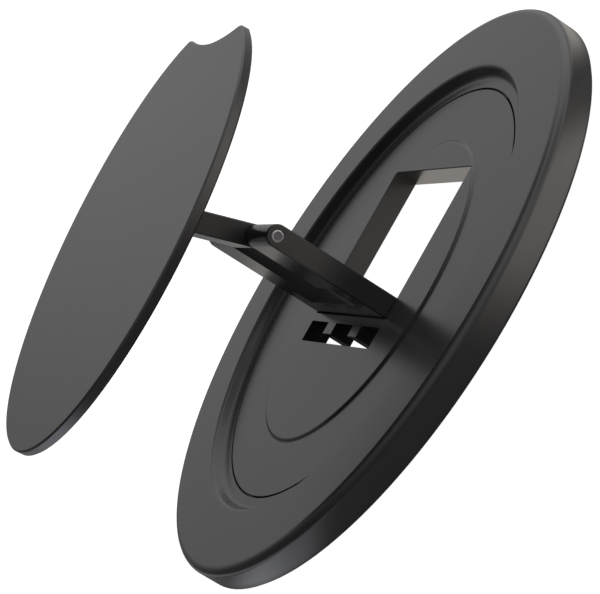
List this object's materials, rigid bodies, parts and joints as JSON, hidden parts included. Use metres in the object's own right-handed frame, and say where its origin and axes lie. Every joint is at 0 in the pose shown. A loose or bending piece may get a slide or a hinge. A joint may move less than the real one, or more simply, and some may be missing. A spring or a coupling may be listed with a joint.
{
  "type": "folding magnetic phone stand",
  "caption": "Thin round magnetic phone stand: a flat magnet ring, a turning centre plate with a window, two hinged arms and a round foot plate that fold flat into the ring's recess.",
  "frame": {"origin": "centre of the ring's phone-side face, which lies on the support", "axes": "+Z out of the ring's front towards the foot plate, +X along the hinge axes, +Y from the base hinge to the top of the window"},
  "size_m": [0.06, 0.06, 0.0268],
  "materials": {
    "anodised_black": "bead-blasted, matte black anodised",
    "pin_steel": "ground steel pin, faced ends",
    "plain_steel": "zinc-plated sheet steel",
    "nickel_plate": "nickel-plated sintered magnet",
    "soft_pad": "matte silicone"
  },
  "bodies": {
    "ring": {"ring_body": "anodised_black", "contact_pad": "soft_pad", "back_cover": "plain_steel", "magnet_01": "nickel_plate", "magnet_02": "nickel_plate", "magnet_03": "nickel_plate", "magnet_04": "nickel_plate", "magnet_05": "nickel_plate", "magnet_06": "nickel_plate", "magnet_07": "nickel_plate", "magnet_08": "nickel_plate", "magnet_09": "nickel_plate", "magnet_10": "nickel_plate", "magnet_11": "nickel_plate", "magnet_12": "nickel_plate", "magnet_13": "nickel_plate", "magnet_14": "nickel_plate", "magnet_15": "nickel_plate", "magnet_16": "nickel_plate"},
    "core": {"centre_plate": "anodised_black", "base_pin": "pin_steel", "pin_keeper_left": "plain_steel", "pin_keeper_right": "plain_steel"},
    "lower_arm": {"lower_arm": "anodised_black", "elbow_pin": "pin_steel"},
    "upper_arm": {"upper_arm": "anodised_black"},
    "foot_plate": {"foot_plate": "anodised_black", "foot_pin": "pin_steel"}
  },
  "joints": [
    {"name": "plate_swivel", "type": "hinge", "parent": "ring", "child": "core", "pos_m": [0, 0, 0.00105], "axis": [0, 0, 1], "continuous": true},
    {"name": "base_hinge", "type": "hinge", "parent": "core", "child": "lower_arm", "pos_m": [0, -0.00178, 0.00135], "axis": [1, 0, 0], "range_deg": [-90, 4]},
    {"name": "elbow_hinge", "type": "hinge", "parent": "lower_arm", "child": "upper_arm", "pos_m": [0, -0.00178, 0.01473], "axis": [1, 0, 0], "range_deg": [-8, 163]},
    {"name": "foot_hinge", "type": "hinge", "parent": "upper_arm", "child": "foot_plate", "pos_m": [0, -0.00441, 0.02306], "axis": [1, 0, 0], "range_deg": [-78, 4]}
  ],
  "couplings": [
    {"joint": "elbow_hinge", "follows": "base_hinge", "ratio": -1.8056},
    {"joint": "foot_hinge", "follows": "base_hinge", "ratio": 0.86111}
  ]
}
